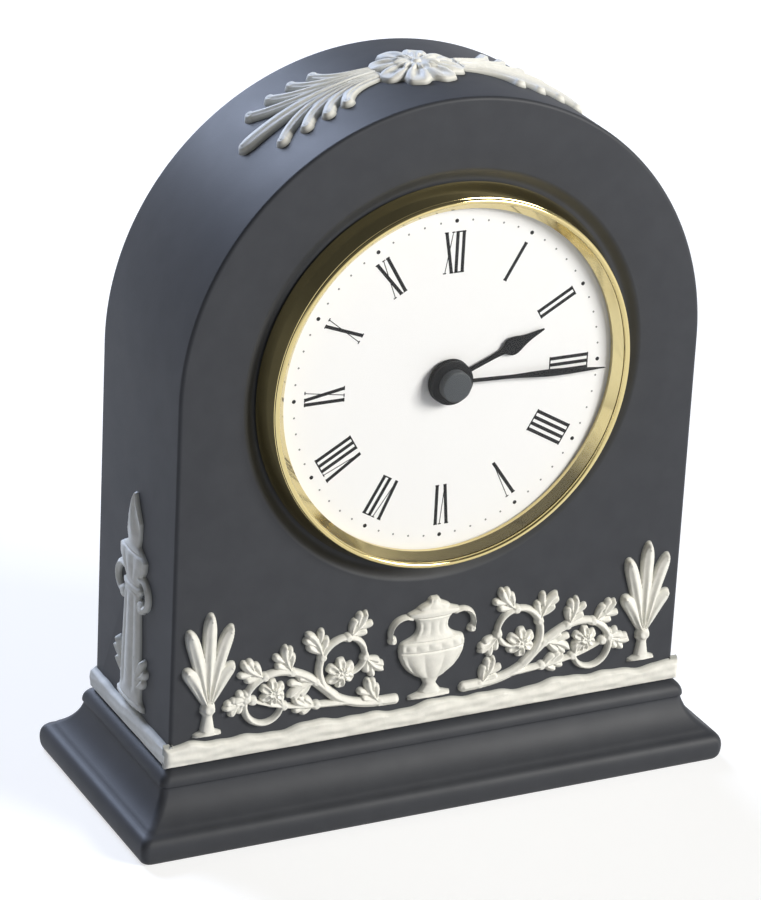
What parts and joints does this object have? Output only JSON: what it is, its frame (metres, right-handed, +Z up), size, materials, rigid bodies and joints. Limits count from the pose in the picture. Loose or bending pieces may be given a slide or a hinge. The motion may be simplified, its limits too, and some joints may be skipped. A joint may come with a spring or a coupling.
{
  "type": "dome clock",
  "caption": "Arched stoneware table clock with applied relief on a moulded plinth and a push-fit quartz clock insert.",
  "frame": {"origin": "middle of the foot, on the surface the clock stands on", "axes": "+Z up, the dial faces -Y, +X is the clock's right as its dial is read"},
  "size_m": [0.1274, 0.0544, 0.1479],
  "materials": {
    "stoneware": "matt unglazed black stoneware",
    "relief": "matt unglazed white stoneware",
    "polished_brass": "polished and lacquered",
    "crystal_glass": "clear polished",
    "dial_paint": "satin white with printed figures",
    "hand_enamel": "satin black enamel",
    "black_rubber": "matt moulded",
    "black_plastic": "fine spark texture",
    "gear_plastic": "natural moulded acetal",
    "bright_steel": "bright plated",
    "copper_wire": "enamelled winding",
    "circuit_board": "solder mask",
    "cell_wrap": "gloss wrap"
  },
  "bodies": {
    "case": {"case_body": "stoneware", "ground_band_front": "relief", "ground_band_left": "relief", "ground_band_right": "relief", "frieze_urn": "relief", "frieze_scroll_left": "relief", "frieze_scroll_right": "relief", "frieze_palmette_left": "relief", "frieze_palmette_right": "relief", "side_ornament_left": "relief", "side_ornament_right": "relief", "top_rosette": "relief", "top_leaf_left": "relief", "top_leaf_right": "relief"},
    "insert": {"bezel_ring": "polished_brass", "crystal": "crystal_glass", "reflector_ring": "polished_brass", "dial_plate": "dial_paint", "insert_pan": "black_plastic", "gasket_ring": "black_rubber", "stator_plate": "bright_steel", "coil_bobbin": "copper_wire", "train_bridge": "black_plastic", "front_plate": "black_plastic", "back_cover": "black_plastic", "circuit_board": "circuit_board", "quartz_can": "bright_steel", "contact_plus": "bright_steel", "contact_minus": "bright_steel"},
    "minute": {"minute_hand": "hand_enamel", "hand_cap": "hand_enamel", "minute_arbor": "gear_plastic"},
    "hour": {"hour_hand": "hand_enamel", "hour_wheel": "gear_plastic"},
    "minute_wheel": {"minute_wheel": "gear_plastic"},
    "centre_wheel": {"centre_wheel": "gear_plastic"},
    "third_wheel": {"third_wheel": "gear_plastic"},
    "second_wheel": {"second_wheel": "gear_plastic"},
    "fifth_wheel": {"fifth_wheel": "gear_plastic"},
    "rotor": {"rotor": "bright_steel"},
    "setting_knob": {"setting_knob": "black_plastic"},
    "battery": {"battery_cell": "cell_wrap"}
  },
  "joints": [
    {"name": "insert_slide", "type": "slide", "parent": "case", "child": "insert", "axis": [0, -1, 0], "range_m": [0, 0.035]},
    {"name": "battery_slide", "type": "slide", "parent": "insert", "child": "battery", "axis": [0, 1, 0], "range_m": [0, 0.012]},
    {"name": "minute_turn", "type": "hinge", "parent": "insert", "child": "minute", "pos_m": [0, -0.0185, 0.089], "axis": [0, 1, 0], "continuous": true},
    {"name": "hour_turn", "type": "hinge", "parent": "insert", "child": "hour", "pos_m": [0, -0.0185, 0.089], "axis": [0, 1, 0], "continuous": true},
    {"name": "minute_wheel_turn", "type": "hinge", "parent": "insert", "child": "minute_wheel", "pos_m": [0.00693, -0.0185, 0.085], "axis": [0, 1, 0], "continuous": true},
    {"name": "knob_turn", "type": "hinge", "parent": "insert", "child": "setting_knob", "pos_m": [0.01445, -0.0185, 0.08774], "axis": [0, 1, 0], "continuous": true},
    {"name": "centre_wheel_turn", "type": "hinge", "parent": "insert", "child": "centre_wheel", "pos_m": [0, -0.0185, 0.089], "axis": [0, 1, 0], "continuous": true},
    {"name": "third_wheel_turn", "type": "hinge", "parent": "insert", "child": "third_wheel", "pos_m": [-0.00877, -0.0185, 0.09406], "axis": [0, 1, 0], "continuous": true},
    {"name": "second_wheel_turn", "type": "hinge", "parent": "insert", "child": "second_wheel", "pos_m": [-0.00431, -0.0185, 0.10179], "axis": [0, 1, 0], "continuous": true},
    {"name": "fifth_wheel_turn", "type": "hinge", "parent": "insert", "child": "fifth_wheel", "pos_m": [0.00136, -0.0185, 0.10179], "axis": [0, 1, 0], "continuous": true},
    {"name": "rotor_turn", "type": "hinge", "parent": "insert", "child": "rotor", "pos_m": [0.00593, -0.0185, 0.10013], "axis": [0, 1, 0], "continuous": true}
  ],
  "couplings": [
    {"joint": "minute_wheel_turn", "follows": "minute_turn", "ratio": -0.33333},
    {"joint": "hour_turn", "follows": "minute_turn", "ratio": 0.083333},
    {"joint": "knob_turn", "follows": "minute_turn", "ratio": 1},
    {"joint": "third_wheel_turn", "follows": "second_wheel_turn", "ratio": -0.13333},
    {"joint": "centre_wheel_turn", "follows": "second_wheel_turn", "ratio": 0.016667},
    {"joint": "fifth_wheel_turn", "follows": "second_wheel_turn", "ratio": -6},
    {"joint": "rotor_turn", "follows": "second_wheel_turn", "ratio": 30}
  ]
}
